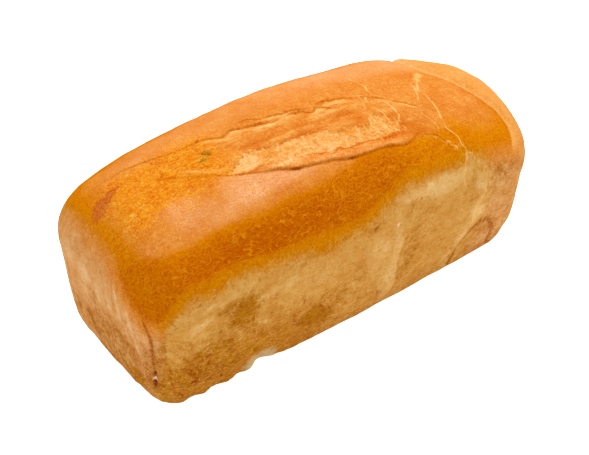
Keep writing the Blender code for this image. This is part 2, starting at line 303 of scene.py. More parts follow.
# Cracks and their pale lips, each with its girth and its strength at each X.
cracks = (
    {  # the left one, and a short one beyond it
        "path": (
            (-110, 27), (-100, 24.5), (-92, 22.5), (-83, 18.5), (-75, 15), (-65, 12.3), (-56, 11),
            (-50, 8.5), (-46, 6.2), (-41, 7.2), (-35, 5.8), (-30, 4.8), (-24, 3), (-18, 1.3), (-11, 2),
            (-6, 1.6), (-2, 0.8), (1, -0.9), (8, -0.5), (12, -2.5), (15, -4.5),
        ),
        "open": (
            (-110, 0), (-100, 0.3), (-92, 0.4), (-82, 0.6), (-76, 0.5), (-68, 0.45), (-60, 0.7), (-50, 0.6),
            (-46, 0.4), (-42, 0.6), (-34, 0.8), (-24, 0.8), (-19, 0.5), (-15, 0), (-11, 0), (-7, 0.9),
            (-2, 1), (1, 0.7), (8, 0.5), (12, 0.5), (16, 0),
        ),
    },
    {  # the right one
        "path": (
            (-33, 7), (-30, 9.3), (-25, 6.5), (-20, 5.2), (-12, 4), (-5, 3), (0, 1.5), (8, 1), (15, 1.5),
            (20, 1), (26, -0.3), (32, -1.8), (37, -2.5), (42, -5), (50, -10.5), (58, -16), (65, -23),
        ),
        "open": (
            (-34, 0), (-29, 0.5), (-22, 0.6), (-12, 0.9), (-4, 0.7), (2, 0.2), (8, 0.3), (12, 0.9),
            (20, 0.8), (25, 0.6), (28, 0.35), (32, 0.5), (36, 0.3), (39, 0.3), (42, 0.8), (45, 0.5),
            (52, 0.6), (60, 0.5), (66, 0),
        ),
    },
    {  # the lower one, under the roll
        "path": (
            (-94, 6.5), (-83, 1.5), (-76, -3), (-67, -9), (-60, -13.5), (-57, -15), (-51, -18), (-43, -21.5),
            (-34, -25), (-30, -27), (-24, -28), (-15, -30), (-5, -32), (0, -33.3), (10, -34), (20, -34.5),
            (30, -35.8), (35, -36.5), (40, -35.2), (46, -33), (52, -35), (58, -38), (60, -43), (64, -46),
        ),
        "open": (
            (-94, 0), (-84, 0.4), (-76, 0.5), (-68, 0.45), (-60, 0.5), (-56, 0.85), (-52, 0.8), (-48, 0.35),
            (-40, 0.35), (-35, 0.55), (-31, 1), (-24, 0.8), (-15, 0.65), (-5, 0.7), (0, 1.1), (5, 0.8),
            (20, 0.65), (30, 0.7), (36, 0.9), (41, 0.6), (45, 0.8), (50, 0.85), (57, 1.0), (60, 0.95),
            (64, 0),
        ),
    },
)
lips = (  # with the width of each, as the material draws it
    {
        "path": (
            (-58, 9.3), (-52, 7.3), (-46, 3.9), (-40, 5), (-35, 4.2), (-28, 2.2), (-20, 0.2), (-12, -0.5),
            (-4, -2), (2, -2.6), (8, -2), (14, -0.8), (20, -1), (26, -2), (30, -4), (36, -6),
        ),
        "open": (
            (-60, 0), (-54, 0.7), (-46, 0.7), (-36, 0.7), (-24, 0.8), (-16, 0.35), (-12, 0), (-4, 0),
            (2, 0.7), (12, 0.85), (22, 0.8), (27, 0.4), (33, 0.3), (37, 0),
        ),
        "width": 1.3,
    },
    {
        "path": (
            (-28, 5.5), (-18, 3.7), (-10, 2.7), (-4, 1.8), (20, -2), (44, -8), (50, -12.4), (55, -15.4),
            (60, -18), (66, -24.5),
        ),
        "open": (
            (-28, 0), (-20, 0.7), (-10, 0.8), (-6, 0.3), (-4, 0), (44, 0), (49, 0.6), (56, 0.9), (62, 0.7),
            (66, 0),
        ),
        "width": 1.1,
    },
    {
        "path": (
            (-78, 1), (-74, -1), (-66, -6.5), (-60, -10), (-52, -9), (0, -20), (46, -32), (50, -35.3),
            (54, -36), (57, -39), (60, -42.5), (63, -46), (66, -49),
        ),
        "open": (
            (-78, 0), (-72, 0.6), (-66, 0.6), (-60, 0.5), (-50, 0), (44, 0), (48, 0.3), (56, 0.35),
            (58.5, 0.1), (61, 0.4), (64, 0.4), (66, 0),
        ),
        "width": 1.5,
    },
)

band = {
    "crackWander": 0.7, "crackDepth": 0.35, "stepHeight": 0.4,
    "tornLow": (
        (-60, -13.4), (-55, -15.5), (-50, -17), (-41, -17.5), (-36, -19.5), (-30, -20.5), (-20, -22.5),
        (-10, -25), (-6, -27), (-2, -25.3), (1, -27), (10, -27.2), (18, -28), (24, -29), (31, -28.5),
        (38, -27.5),
    ),
    "tornTop": (
        (-60, -13), (-52, -10.5), (-47, -8.5), (-43, -7.6), (-39, -8), (-32, -10.5), (-22, -10.5),
        (-15, -12.5), (-10, -12), (-5, -13.5), (0, -15), (5, -17.5), (14, -17), (18, -19.5), (23, -20.5),
        (26, -16), (29, -14.5), (34, -15), (38, -22),
    ),
    # How pale the torn crumb is along it, and islands of whole crust in it.
    "tornPale": ((-60, 1), (-44, 1), (-40, 0.75), (-20, 0.85), (0, 0.8), (14, 0.65), (26, 0.42), (38, 0.2)),
    "islands": (
        (-36, -13, 4.5, 3.2, 0.8), (-24, -24.5, 4, 2, 0.6), (-13, -15, 6, 2, 0.35), (9, -18, 7, 2.5, 0.4),
    ),
    "rollHeight": 1.1, "tornDepth": 0.6, "wormHeight": 0.35,
    "rippleFrom": (4, -46), "rippleStep": 2.6, "rippleAlong": (14, 26),
    # Where forms start, are full, fade and end: along, or by girth.
    "tornAlong": (-60, 38), "rollAlong": (-54, -34, 24, 48), "foldedAlong": (-60, -44, 46, 60),
    "wormAlong": (-112, -98, -60, -46),
    "sideWormAlong": (-125, -112, -88, -70), "sideWormGirth": (-26, -14, 4, 14),
    "crackleAlong": (-60, -10, 58, 70), "crackleGirth": (-66, -58, -42, -35),
    "foldedHeight": 0.7,
}


def alongOnly(x, size, octaves, layer):  # noise that changes only along the loaf
    return cloud(np.stack((x, 0 * x, 0 * x)), size, octaves, layer)


def lineLayer(x, girth, lines, layer):
    # For each line, how far past its route a girth lies, and its strength there.
    offs, opens = [], []
    for number, line in enumerate(lines):
        wander = band["crackWander"] * alongOnly(x, 6, 3, layer + 8 * number)
        offs.append(np.clip(girth - route(line["path"], x) + wander, -8, 8))
        opens.append(np.clip(route(line["open"], x), 0, 1.2))
    return offs, opens


def blot(x, girth, patch):  # 1 in the middle of an oval patch, easing to 0 at its rim
    along, up, long_, wide = patch[:4]
    return 1 - between(0.35, 1.35, np.hypot((x - along) / long_, (girth - up) / wide))


def patches(rows, x, girth):  # the strongest blot, each by its strength
    return np.max([row[4] * blot(x, girth, row) for row in rows], axis=0)


def dots(rows, x, girth, inner, outer, shake=0.0):
    # The strongest round dot, each 1 within inner of its radius and 0 beyond outer.
    return np.max([1 - between(inner * radius, outer * radius, np.hypot(x - along, girth - up) + shake)
                   for along, up, radius in rows], axis=0)


def bandLayers(place, x, girth):
    # Height, the offs and opens of cracks and lips, and how far inside the torn crumb a place is.
    crackOffs, crackOpens = lineLayer(x, girth, cracks, 20)
    lipOffs, lipOpens = lineLayer(x, girth, lips, 20)
    height = 0.0
    for off, open_ in zip(crackOffs, crackOpens):
        height = height - band["crackDepth"] * open_ * bell(off, 0.4 + 0.4 * open_)
    for off, open_ in zip(crackOffs[:2], crackOpens[:2]):  # the upper side stands as a low step
        height = height + band["stepHeight"] * open_ * window(off, -0.4, 0.8, 1.0, 8)

    low, top = route(band["tornLow"], x), route(band["tornTop"], x)
    inside = np.minimum(girth - low, top - girth)
    start, end = band["tornAlong"]
    inside = np.minimum(np.minimum(inside, x - start), end - x)
    pale = np.clip(route(band["tornPale"], x), 0, 1)
    pale = pale * (1 - 0.35 * between(0, 12, girth - low) * between(-44, -30, x))
    warped = x + 1.5 * cloud(place, 4, 3, 30), girth + 1.5 * cloud(place, 4, 3, 34)
    for island in band["islands"]:
        pale = pale * (1 - island[4] * blot(*warped, island))
    torn = between(-0.5, 1.0, inside + cloud(place, 3, 2, 54))
    fibres = cloud(place, (4.0, 1.7, 1.7), 3, 66)
    ring = np.hypot(x - band["rippleFrom"][0], girth - band["rippleFrom"][1]) + 1.5 * fibres
    rippled = between(*band["rippleAlong"], x)
    ripple = np.sin(2 * np.pi * ring / band["rippleStep"]) * rippled
    fibres = fibres * (1 - 0.5 * rippled)
    height = height + torn * (0.9 * fibres + 0.25 * ripple - band["tornDepth"])

    above = crackOffs[2]
    rolled = window(x, *band["rollAlong"])
    part = np.clip(above / np.maximum(low - girth + above + 1.0, 2), 0, 1)
    height = height + band["rollHeight"] * rolled * np.sin(np.pi * part ** 0.5)

    worms = np.clip(1 - 4 * np.abs(cloud(place, (6, 3.2, 3.2), 3, 70)), 0, 1)
    middle = between(-0.5, 2, crackOffs[2]) * between(0.5, -2, crackOffs[0])
    wormy = middle * window(x, *band["wormAlong"])
    beside = window(x, *band["sideWormAlong"]) * window(girth, *band["sideWormGirth"])
    wormy = np.maximum(wormy, 0.6 * beside)
    height = height + band["wormHeight"] * wormy * worms
    onRoll = rolled * between(0, 0.8, above) * between(0.5, -0.5, girth - low)
    folded = middle * window(x, *band["foldedAlong"]) * (1 - torn)
    folds = cloud(place, (14, 4, 4), 3, 74)
    height = height + band["foldedHeight"] * folded * folds
    crackle = window(x, *band["crackleAlong"]) * window(girth, *band["crackleGirth"])
    skin = crackle, onRoll, folded * folds
    crumb = inside, pale + 0.45 * ripple * torn, wormy
    return height, (crackOffs, crackOpens), (lipOffs, lipOpens), crumb, skin


hairs = {
    # Broken lines, each with its width.
    "lines": (
        (((42, 15), (42, 11), (43.5, 7), (44, 4), (43, 2), (42, 0), (42, -2.5)), 0.9),
        (((30, -1.8), (35.5, -1.6), (37, -3), (35, -5), (34, -7.5)), 0.9),
        (((34, -10), (35, -13), (36, -17), (36, -22), (35.5, -27), (35, -30)), 0.7),
        (((41, -7), (44, -11), (44, -17), (43.5, -20), (41, -21.5), (40, -25)), 0.8),
        (((89, 9), (84, 6), (80, 3), (77, 1)), 3.0),
        (((80, 3), (77, 1), (75, -1.5), (72, -5), (70, -7)), 1.1),
        (((72.5, -8), (71, -14), (70, -18), (69, -22), (67, -26), (66, -28.5)), 1.1),
        (((66, -30), (65, -33), (67, -36), (69, -40), (68.5, -44), (70, -49)), 0.9),
        (((70, -47), (69, -50), (68, -53), (66, -57), (65, -60), (63.5, -64), (63.5, -72)), 1.5),
        (((70, -49), (73, -52), (74, -54), (72, -57)), 0.8),
        (((55, -17), (58, -23), (60, -30), (59, -35)), 0.6), (((46, -32), (48.5, -33), (50, -36)), 1.1),
        (((50, -34.5), (53, -35.5), (55, -38.5)), 1.1), (((53.5, -35), (56.5, -36.5), (58, -39.5)), 1.0),
        (((59, -40), (62, -41.5), (61.5, -45)), 1.2), (((62, -43), (64.5, -45), (64, -48)), 1.2),
        (((57, -38), (59, -41), (58, -43)), 0.8),
        (((28, -13), (27.5, -17), (28.5, -21), (29.5, -25), (28.5, -28)), 0.8),
        (((25.5, -15), (24.5, -20), (25, -24), (26, -28)), 0.6),
        (((20, -17.5), (19.5, -22), (20.5, -26)), 0.7),
        (((31.5, -20.5), (31, -24), (31.5, -27.5), (34.5, -28.5)), 0.8),
        (((35.5, -24), (36.5, -27), (37, -30.5)), 0.8), (((40, -24), (41, -27), (40, -30)), 0.8),
        (((38, -21.5), (38.5, -24.5), (38, -27)), 0.6), (((72, 1), (70, -4), (67, -9), (62, -14)), 0.6),
        (((28, -70), (31, -67), (33, -63)), 0.7),
    ),
    "wiggle": 0.8, "wiggleSize": 5.0, "taper": 3.0,
}


def lineOff(points, x, girth):
    # How far a place lies from a broken line, positive on its left, and how far along it that is.
    best, along, run = np.full(x.shape, 1e3), np.zeros(x.shape), 0.0
    for (startX, startG), (endX, endG) in zip(points[:-1], points[1:]):
        stepX, stepG = endX - startX, endG - startG
        length = math.hypot(stepX, stepG)
        part = np.clip(((x - startX) * stepX + (girth - startG) * stepG) / length ** 2, 0, 1)
        offX, offG = x - startX - part * stepX, girth - startG - part * stepG
        off = np.hypot(offX, offG) * np.where(stepX * offG > stepG * offX, 1, -1)
        closer = np.abs(off) < np.abs(best)
        best, along = np.where(closer, off, best), np.where(closer, run + part * length, along)
        run += length
    return best, along, run


def keepCloser(best, strength, off, width, value):  # the closest line's distance and its strength
    closer = np.abs(off) < np.abs(best) * width
    return np.where(closer, off / width, best), np.where(closer, value, strength)


def hairLayers(place, x, girth):
    # The closest hair's signed distance, and a strength that fades at its ends and away from it.
    wiggle = hairs["wiggle"]
    x = x + wiggle * cloud(place, hairs["wiggleSize"], 3, 80)
    girth = girth + wiggle * cloud(place, hairs["wiggleSize"], 3, 84)
    off, strength = np.full(x.shape, 1e3), np.zeros(x.shape)
    for line, width in hairs["lines"]:
        away, along, run = lineOff(line, x, girth)
        tapered = window(along, 0, hairs["taper"], run - hairs["taper"], run)
        off, strength = keepCloser(off, strength, away, width, tapered)
    return np.clip(off, -4, 4), strength * (1 - between(1.6, 2.4, np.abs(off)))


browning = {
    # Along X: where brown crust ends, where the deepest crust starts and ends, and how deep it is.
    "edge": (
        (-126, -77), (-121, -72), (-118, -67), (-113, -63), (-108, -58.5), (-104, -57.5), (-100, -60.5),
        (-94, -62.5), (-87, -61), (-80, -61.5), (-70, -63.5), (-60, -66), (-50, -66.5), (-40, -69.5),
        (-30, -73), (-20, -71.5), (-8, -71), (0, -69), (5, -66.5), (15, -61.5), (25, -57.5), (35, -58),
        (50, -56), (60, -55.5), (66, -54), (70, -50), (76, -53), (85, -56.5), (95, -56.5), (110, -56.5),
    ),
    "deepLow": (
        (-126, -73), (-118, -62), (-105, -53), (-95, -54), (-80, -56.5), (-60, -61), (-40, -63.5),
        (-20, -66), (-10, -66), (0, -64), (10, -60), (20, -56), (30, -53), (60, -50), (100, -52),
    ),
    "deepTop": (
        (-126, -18), (-118, -26), (-110, -32), (-100, -36), (-80, -39), (-20, -40), (0, -36), (60, -38),
        (70, -34), (90, -24), (110, -14),
    ),
    "deepness": (
        (-126, 0.6), (-110, 0.65), (-90, 0.8), (-60, 0.95), (-40, 0.9), (-20, 0.78), (0, 0.7), (20, 0.75),
        (35, 0.5), (50, 0.4), (58, 0.45), (66, 0.15), (76, 0.08), (100, 0.08),
    ),
    "backEdge": -66.0, "backLow": -62.0, "backTop": -41.0, "backDeep": 0.6,
    "endEdge": (
        (-46, 62), (-42, 63), (-35, 67), (-24, 74), (-15, 80), (-5, 84), (11, 85), (23, 87), (46, 84),
    ),
    "farEdge": 76.0, "blend": 3.0,
    # The lower edge of a pinker flush under the lower tear, with a painted sheen laid on it.
    "flushSheenLow": (
        (-122, -6), (-111, -14), (-101, -22), (-90, -28), (-74, -33), (-50, -32), (-20, -31), (0, -33),
    ),
    # Where these start, are full, fade and end: along, and by girth.
    "glow": ((-122, -108, -66, -40), (-22, -8, 14, 26)),
    # Next, a painted sheen over the back of the top.
    "backSheen": ((-120, -80, 96, 114), (2, 20, 28, 43)),
    "backDeepSpot": ((34, 52, 84, 98), (16, 30, 46, 60)),
    "shoulderAlong": (-134, -126, -121, -112),
}


def lesser(a, b, blend):
    # The lower of two heights, rounded where they meet: minus the log of the sum of their powers.
    return -blend * np.log(np.exp(-a / blend) + np.exp(-b / blend))


def browningLayers(place, x, girth):
    # How far a place lies above the lowest brown crust, and where it is deep, glowing, or flushed pinker
    # with a painted sheen.
    _, y, z = place

    def sided(name, back):  # a route's value on the -Y side, and the value behind
        return np.where(girth < 0, route(browning[name], x), back)

    def spot(name):
        along, up = browning[name]
        return window(x, *along) * window(girth, *up)

    edge = sided("edge", browning["backEdge"] + 6 * alongOnly(x, 30, 3, 110))
    around = -np.abs(girth)
    side = around - edge
    near = 1.2 * (z - route(browning["endEdge"], y)) + 0.8 * np.maximum(x + 124, 0)
    far = 1.2 * (z - browning["farEdge"]) + 0.8 * np.maximum(118 - x, 0)
    rise = lesser(lesser(side, near, browning["blend"]), far, browning["blend"])

    wavy = around + 2.5 * cloud(place, 14, 3, 104)
    lowest = sided("deepLow", browning["backLow"])
    highest = sided("deepTop", browning["backTop"])
    deep = between(-3, 5, wavy - lowest) * (1 - between(-7, 9, wavy - highest))
    deep = deep * sided("deepness", browning["backDeep"] * between(-124, -95, x)) * between(0, 9, rise)
    deep = np.maximum(deep, 0.28 * spot("backDeepSpot"))
    shoulder = 0.35 * window(x, *browning["shoulderAlong"]) * between(20, -30, y)
    deep = np.maximum(deep, shoulder * between(2, 8, rise))

    # A pinker flush under the lower tear carries a painted sheen, and painted sheen lies over the back of
    # the top.
    low = girth - route(browning["flushSheenLow"], x) + 1.6 * cloud(place, 9, 3, 106)
    crack = girth - route(cracks[2]["path"], x)
    fade = 6 + 5 * between(-70, -105, x)
    flushAndSheen = between(-fade, fade, low) * between(0.5, -1, crack) * between(-122, -84, x) * between(24, -24, x)
    flushAndSheen = flushAndSheen * between(-3, -16, girth) * (0.78 + 0.8 * cloud(place, 18, 3, 112))
    flushAndSheen = np.maximum(flushAndSheen, (0.4 + 0.3 * between(-40, 60, x)) * spot("backSheen"))
    return rise, deep, flushAndSheen, spot("glow")


walls = {
    # Soft stains on the -Y wall, and at 30 along a painted shade down the far side of the middle ridge:
    # along, girth, half length, half width and strength.
    "stainsAndShade": (
        (-79, -80, 11, 7, 1.1), (-88, -75, 8, 4, 0.6), (-74, -86, 6, 3, 0.4), (-97, -88, 18, 8, 0.6),
        (-70, -97.5, 10, 2.4, 1.0), (-34, -96, 9, 4.5, 1.5), (-28, -100, 8, 4, 1.3), (-22, -103, 6, 3, 0.6),
        (-44, -95, 6, 3, 0.45), (-18, -91.5, 12, 3.4, 0.55), (-8, -87, 8, 4, 0.25), (-106, -97, 14, 6, 0.7),
        (-86, -99, 10, 6, 0.7), (-20, -72, 30, 3, 0.5), (-117, -64, 5, 6, 0.6), (69.5, -109, 2.6, 6, 0.9),
        (-116.5, -97, 3.5, 10, 0.5), (-121, -82, 3, 8, 0.5), (-58, -92, 9, 2.5, 0.3),
        (-126.5, -66, 1.6, 8, 1.0), (-119, -104, 5, 7, 0.6), (30, -92, 5, 20, 0.45), (89, -78, 7, 12, 0.25),
        (-104, -65.5, 3, 1.5, 0.3), (35, -82, 12, 5, 0.25), (93, -64, 9, 6, 0.5),
    ),
    # Pale cream patches, same columns: at 19 along painted light on the near side of the middle ridge, and
    # from 63 to 75 along, down the far ridge, partly painted light on its lit face.
    "creamAndLight": (
        (46, -64, 26, 7, 0.75), (22, -65, 8, 4, 0.5), (8, -85, 12, 9, 0.45), (13, -95, 7, 8, 0.35),
        (75, -72, 4, 10, 0.6), (75, -84, 6, 8, 0.85), (68, -94, 6, 8, 0.7), (63, -104, 5, 8, 0.5),
        (-58, -77.5, 16, 1.6, 0.5), (-35, -80, 16, 5, 0.35), (-102, -76.5, 9, 1.6, 0.6),
        (-98, -69, 5, 1.6, 0.6), (-85, -69.5, 3, 2, 0.45), (-46, -69, 4, 1.8, 0.4), (19, -92, 5, 22, 0.6),
        (67, -60, 5, 3, 0.5), (70, -96, 12, 12, 0.3), (85, -84.5, 3, 1.6, 0.5), (-25, -92, 5, 1.5, 0.3),
    ),
    "floor": (-62.5, -109.5, 11, 6.5),  # the unbaked hollow
    "taper": 2.5,
    # Small holes, their insides darkened with painted shade: along, girth and radius.
    "pits": (
        (-120.5, -86.5, 0.7), (-116, -71.5, 0.8), (-86, -92.3, 1.0), (2, -74.5, 1.3), (-41, -87.5, 1.0),
        (-6.5, -68.5, 0.7), (17, -70, 0.8), (27.5, -70, 0.6), (33, -68, 0.5), (-5.6, -6.8, 0.6),
        (82.5, -89.7, 1.2), (-3, -99, 0.8), (-103, -64, 0.7),
    ),
    "glints": ((17.5, -76.7, 0.5), (18, -77.8, 0.45), (-122.6, -101.2, 1.0)),
    # Folds drawn as broken lines: each with its width, depth and darkness, the darkness being painted shade
    # down the crease.
    "folds": (
        (((68, -114), (71, -103), (73.5, -97.5), (77.5, -93.5), (82, -91.5), (85, -91)), 1.1, 0.9, 0.5),
        (((84.5, -91), (90, -92.5), (95, -97), (98, -102), (100, -114)), 1.7, 1.1, 0.5),
        (((78, -64), (75, -73), (71, -84), (69, -94)), 3.4, -0.7, 0.0),
        (((25, -80), (23, -86), (22.5, -91), (24, -96), (24, -110)), 1.8, 0.6, 0.25),
        (((-114, -91), (-109, -93.5), (-105, -96), (-102, -98)), 1.7, 0.7, 0.8),
        (((-106, -90), (-103, -91.5), (-100, -91)), 0.8, 0.4, 0.5),
        (((-100, -93), (-96, -95.5), (-91, -98.5), (-87, -100.5)), 0.8, 0.5, 0.5),
        (((-94, -92), (-91, -95)), 0.8, 0.4, 0.5), (((-80, -96), (-78.5, -100)), 1.3, 0.6, 0.7),
        (((-86, -100), (-83, -103)), 0.7, 0.4, 0.8),
        (((-90, -103), (-88, -106), (-86, -110)), 1.0, 0.6, 0.7), (((-83, -94), (-81, -96)), 0.7, 0.3, 0.6),
        (((-113, -105), (-109, -110), (-106, -112)), 1.0, 0.9, 0.6),
        (((-108, -99), (-104, -101), (-101, -104)), 1.5, 0.6, 0.7),
        (((-96, -104), (-93, -106), (-91, -109)), 1.0, 0.6, 0.5),
        (((-126.8, -60), (-126.3, -66), (-125.8, -76), (-124.8, -86), (-123.2, -98)), 0.45, 0.4, 0.55),
        (((-123.4, -95), (-122.8, -101), (-122, -108)), 0.65, 1.2, 1.05),
        (((-118.5, -92), (-117, -98), (-116, -101), (-114, -108)), 0.8, 0.5, 0.55),
        (((28, -68), (26.5, -72), (23, -75), (19, -75.5)), 0.8, 0.3, 0.2),
        (((-31, -91), (-27, -95), (-25, -99)), 1.0, 0.4, 0.5), (((-24, -92), (-20, -96)), 0.8, 0.3, 0.35),
        (((8, -96), (12, -102), (14, -107)), 0.8, 0.3, 0.3), (((-47, -93), (-44, -97)), 0.8, 0.3, 0.35),
    ),
    # Stains on the near end: across, height, half width, half height and strength.
    "endStains": (
        (12, 33, 5, 7, 0.9), (-4, 34, 4, 6, 0.7), (27, 33, 7, 8, 0.6), (-18, 24, 8, 7, 0.6),
        (-28, 20, 9, 8, 1.0), (-22, 43, 9, 5, 0.6), (3, 24, 14, 6, 0.5), (-6, 42, 12, 3, 0.4),
        (0, 10, 44, 7, 0.6), (34, 50, 6, 10, 0.2),
    ),
    "endCream": (
        (16, 50, 10, 11, 0.4), (9, 65, 10, 6, 0.6), (24, 68, 10, 8, 0.5), (-31, 62, 2.0, 12, 0.7),
        (-22, 67, 1.8, 10, 0.7), (-13, 64, 3.6, 11, 0.6), (-33, 49, 1.6, 13, 0.5), (-4, 62, 6, 10, 0.5),
        (30, 60, 8, 5, 0.4), (-37, 60, 3, 10, 0.4),
    ),
    "endPits": ((8, 55.6, 0.8), (1, 53, 0.5), (-6, 54, 0.5), (-17.5, 22, 0.9), (-28, 26, 0.6)),
}


def wallLayers(place, x, girth):
    # Height, and where the walls are stained, creamy, holed, creased, unbaked, glinting or foot-brown; stain
    # and cream also carry painted shade and painted light beside the ridges, and creases and holes painted
    # shade.
    _, y, z = place
    bent, fine = 3.0 * cloud(place, 9, 3, 120), 1.2 * cloud(place, 3, 2, 126)
    warpX, warpG = x + bent + fine, girth + 0.6 * bent - fine
    hidden = between(30, 60, girth)
    stainAndShade = 0.5 * between(0.0, 0.8, cloud(place, (30, 20, 12), 3, 122)) * hidden
    creamAndLight = 0.5 * between(0.0, 0.8, cloud(place, (40, 20, 14), 2, 130)) * hidden
    end, slant = between(-120, -124, x), 0.35 * (z - 50)
    endStain = patches(walls["endStains"], y + 0.7 * bent + fine, z + bent - 0.5 * fine)
    endCream = patches(walls["endCream"], y + 0.3 * bent - 0.4 * slant, z + bent)
    stainAndShade = np.maximum(np.maximum(stainAndShade, patches(walls["stainsAndShade"], warpX, warpG)), end * endStain)
    creamAndLight = np.maximum(np.maximum(creamAndLight, patches(walls["creamAndLight"], warpX, warpG)), end * endCream)
    pit = dots(walls["pits"], x, girth, 0.4, 1.3, 0.6 * fine)
    pit = np.maximum(pit, end * dots(walls["endPits"], y, z, 0.4, 1.3))
    glint = dots(walls["glints"], x, girth, 0.3, 1.2)
    height, foldOff, foldShade = 0.0, np.full(x.shape, 1e3), np.zeros(x.shape)
    for points, width, depth, paintedShade in walls["folds"]:
        off, along, run = lineOff(points, x + 0.3 * bent, girth)
        tapered = window(along, 0, walls["taper"], run - walls["taper"], run)
        height = height - depth * tapered * bell(off, max(width, 1.2))
        if paintedShade:
            foldOff, foldShade = keepCloser(foldOff, foldShade, off, width, paintedShade * tapered)
    foldShade = foldShade * (1 - between(2.0, 3.5, np.abs(foldOff)))
    foot = between(66, 26, z + 0.8 * bent + 10 * between(-70, -20, x)) * (
        1 - 0.75 * between(-60, 20, x) * between(10, -30, y))
    foot = foot + end * ((1.1 - 0.7 * between(-14, 28, y)) * between(60, 34, z + bent) - foot)
    foot = foot + 0.25 * between(70, 84, x) * between(-20, -40, y)
    raw = np.clip(1.8 * blot(x, girth + 0.3 * fine, walls["floor"]) - 0.3, 0, 1)
    height = height + 0.9 * cloud(place, 6, 3, 134) * between(0.2, 0.8, foot) * between(0, -80, x)
    return height - 0.5 * pit, (stainAndShade, creamAndLight, pit), (np.clip(foldOff, -5, 5), foldShade, raw), glint, foot


marks = {
    # A reddish drop, round at its start and drawn out to a tail.
    "drop": {"along": -114.5, "girth": 13.0, "length": 12.0, "climb": 1.0, "half": 4.7, "taper": 3.9},
    # Green-brown specks: along, girth, half length and half width.
    "specks": ((-58.8, 1.8, 3.3, 2.4), (-62.8, 0.0, 2.3, 1.6)),
}


def spotLayers(place, x, girth):
    # The distance from the drop's middle line over its width there, and from each speck's middle.
    drop = marks["drop"]
    past = x - drop["along"]
    tail = np.clip(past / drop["length"], 0, 1)
    away = np.hypot(past - drop["length"] * tail, girth - drop["girth"] - drop["climb"] * tail)
    away = away / (drop["half"] - drop["taper"] * tail)
    specks = np.min([np.hypot((x - along) / long_, (girth - up) / wide)
                     for along, up, long_, wide in marks["specks"]], axis=0)
    return (between(1.25, 0.75, away + 0.3 * cloud(place, 3, 2, 150)),
            between(1.1, 0.5, specks + 0.9 * cloud(place, 1.8, 2, 154)))


def newObject(name, data):
    item = bpy.data.objects.new(name, data)
    bpy.context.scene.collection.objects.link(item)
    return item


def outward(places):
    # The normal of a grid of points: along the loaf crossed with along the ring.
    along = np.gradient(places, axis=1)
    around = (np.roll(places, -1, axis=2) - np.roll(places, 1, axis=2)) / 2
    normal = np.cross(along, around, axis=0)
    return normal / np.maximum(np.linalg.norm(normal, axis=0), 1e-9)


def gridMesh(name, places, layers):
    # Rings of quads between two end points. A layer holds three numbers at every point.
    rings, columns = places.shape[1], places.shape[2]
    body = places[:, 1:-1].reshape(3, -1).T
    points = np.vstack((body, places[:, 0, 0], places[:, -1, 0])) * metres
    index = np.arange((rings - 2) * columns).reshape(rings - 2, columns)
    beside = np.roll(index, -1, axis=1)
    quads = np.stack((index[:-1], index[1:], beside[1:], beside[:-1]), axis=-1).reshape(-1, 4)
    near, far = len(body), len(body) + 1
    nearFan = np.stack((np.full(columns, near), index[0], beside[0]), axis=-1)
    farFan = np.stack((np.full(columns, far), beside[-1], index[-1]), axis=-1)
    mesh = bpy.data.meshes.new(name)
    mesh.from_pydata(points.tolist(), [], quads.tolist() + nearFan.tolist() + farFan.tolist())
    for layer, values in layers.items():
        values = np.stack([np.broadcast_to(value, places.shape[1:]) for value in values])
        values = np.vstack((values[:, 1:-1].reshape(3, -1).T, values[:, 0, 0], values[:, -1, 0]))
        data = mesh.attributes.new(layer, "FLOAT_VECTOR", "POINT").data
        data.foreach_set("vector", values.astype(np.float32).ravel())
    mesh.shade_smooth()
    return newObject(name, mesh)


def makeLoaf():
    # Every point moves out along its normal by the sum of the heights.
    ring = np.arange(loaf["rings"] + 1.0)[:, None] + np.zeros((1, loaf["columns"]))
    column = np.arange(float(loaf["columns"]))[None, :] + np.zeros((loaf["rings"] + 1, 1))
    way = ringWay(columnTurn(ring / loaf["rings"], column), ring)
    turn = columnTurn(way, column)
    x, y, z = loafPoint(way, turn)
    place = np.stack((x, y, z))
    girth = (turn - 0.5) * loaf["crownGirth"]

    height, (crackOffs, crackOpens), (lipOffs, lipOpens), torn, skin = bandLayers(place, x, girth)
    hairOff, hair = hairLayers(place, x, girth)
    rise, deep, flushAndSheen, glow = browningLayers(place, x, girth)
    wallHeight, marked, crease, glint, foot = wallLayers(place, x, girth)
    height = height + wallHeight + endRelief(x, y, z) + foldRelief(y, z, way) + wallRelief(x, y, z)
    height = height + edgeRelief(x, y, z) + swellRelief(x, girth) + 0.5 * hair * bell(hairOff + 0.8, 0.9)
    height = height + 0.5 * cloud(place, 20, 2, 140) + 0.2 * cloud(place, 5, 3, 144)
    # Past the rim groove, and how pink a place is: the ends' walls are.
    past = x - route(tears["groove"], y) - 7 * between(76, 60, z) * (y < 0)
    pink = np.maximum(between(-118, -126, x), 0.85 * between(74, 94, x) * between(30, -30, girth))
    pink = np.maximum(pink, 0.8 * between(108, 122, x))

    height = height * between(0.0, 3.0, z) + hollowRelief(x, y, z)
    final = place + outward(place) * height
    final[2] = np.maximum(final[2], 0.0)
    for axis in (0, 1):  # stands where its solid stands
        middle = (cadLow[axis] + cadHigh[axis]) / 2 / metres
        final[axis] += middle - (final[axis].min() + final[axis].max()) / 2
    return gridMesh("tinLoaf", final, {
        "browned": (rise, deep, flushAndSheen), "glowing": (glow, foot, pink),
        "crackOff": crackOffs, "crackOpen": crackOpens, "lipOff": lipOffs, "lipOpen": lipOpens,
        "torn": torn, "hair": (hairOff, hair, np.clip(past, -9, 9)),
        "marked": marked, "crease": crease, "spotted": (*spotLayers(place, x, girth), glint), "skin": skin,
    })


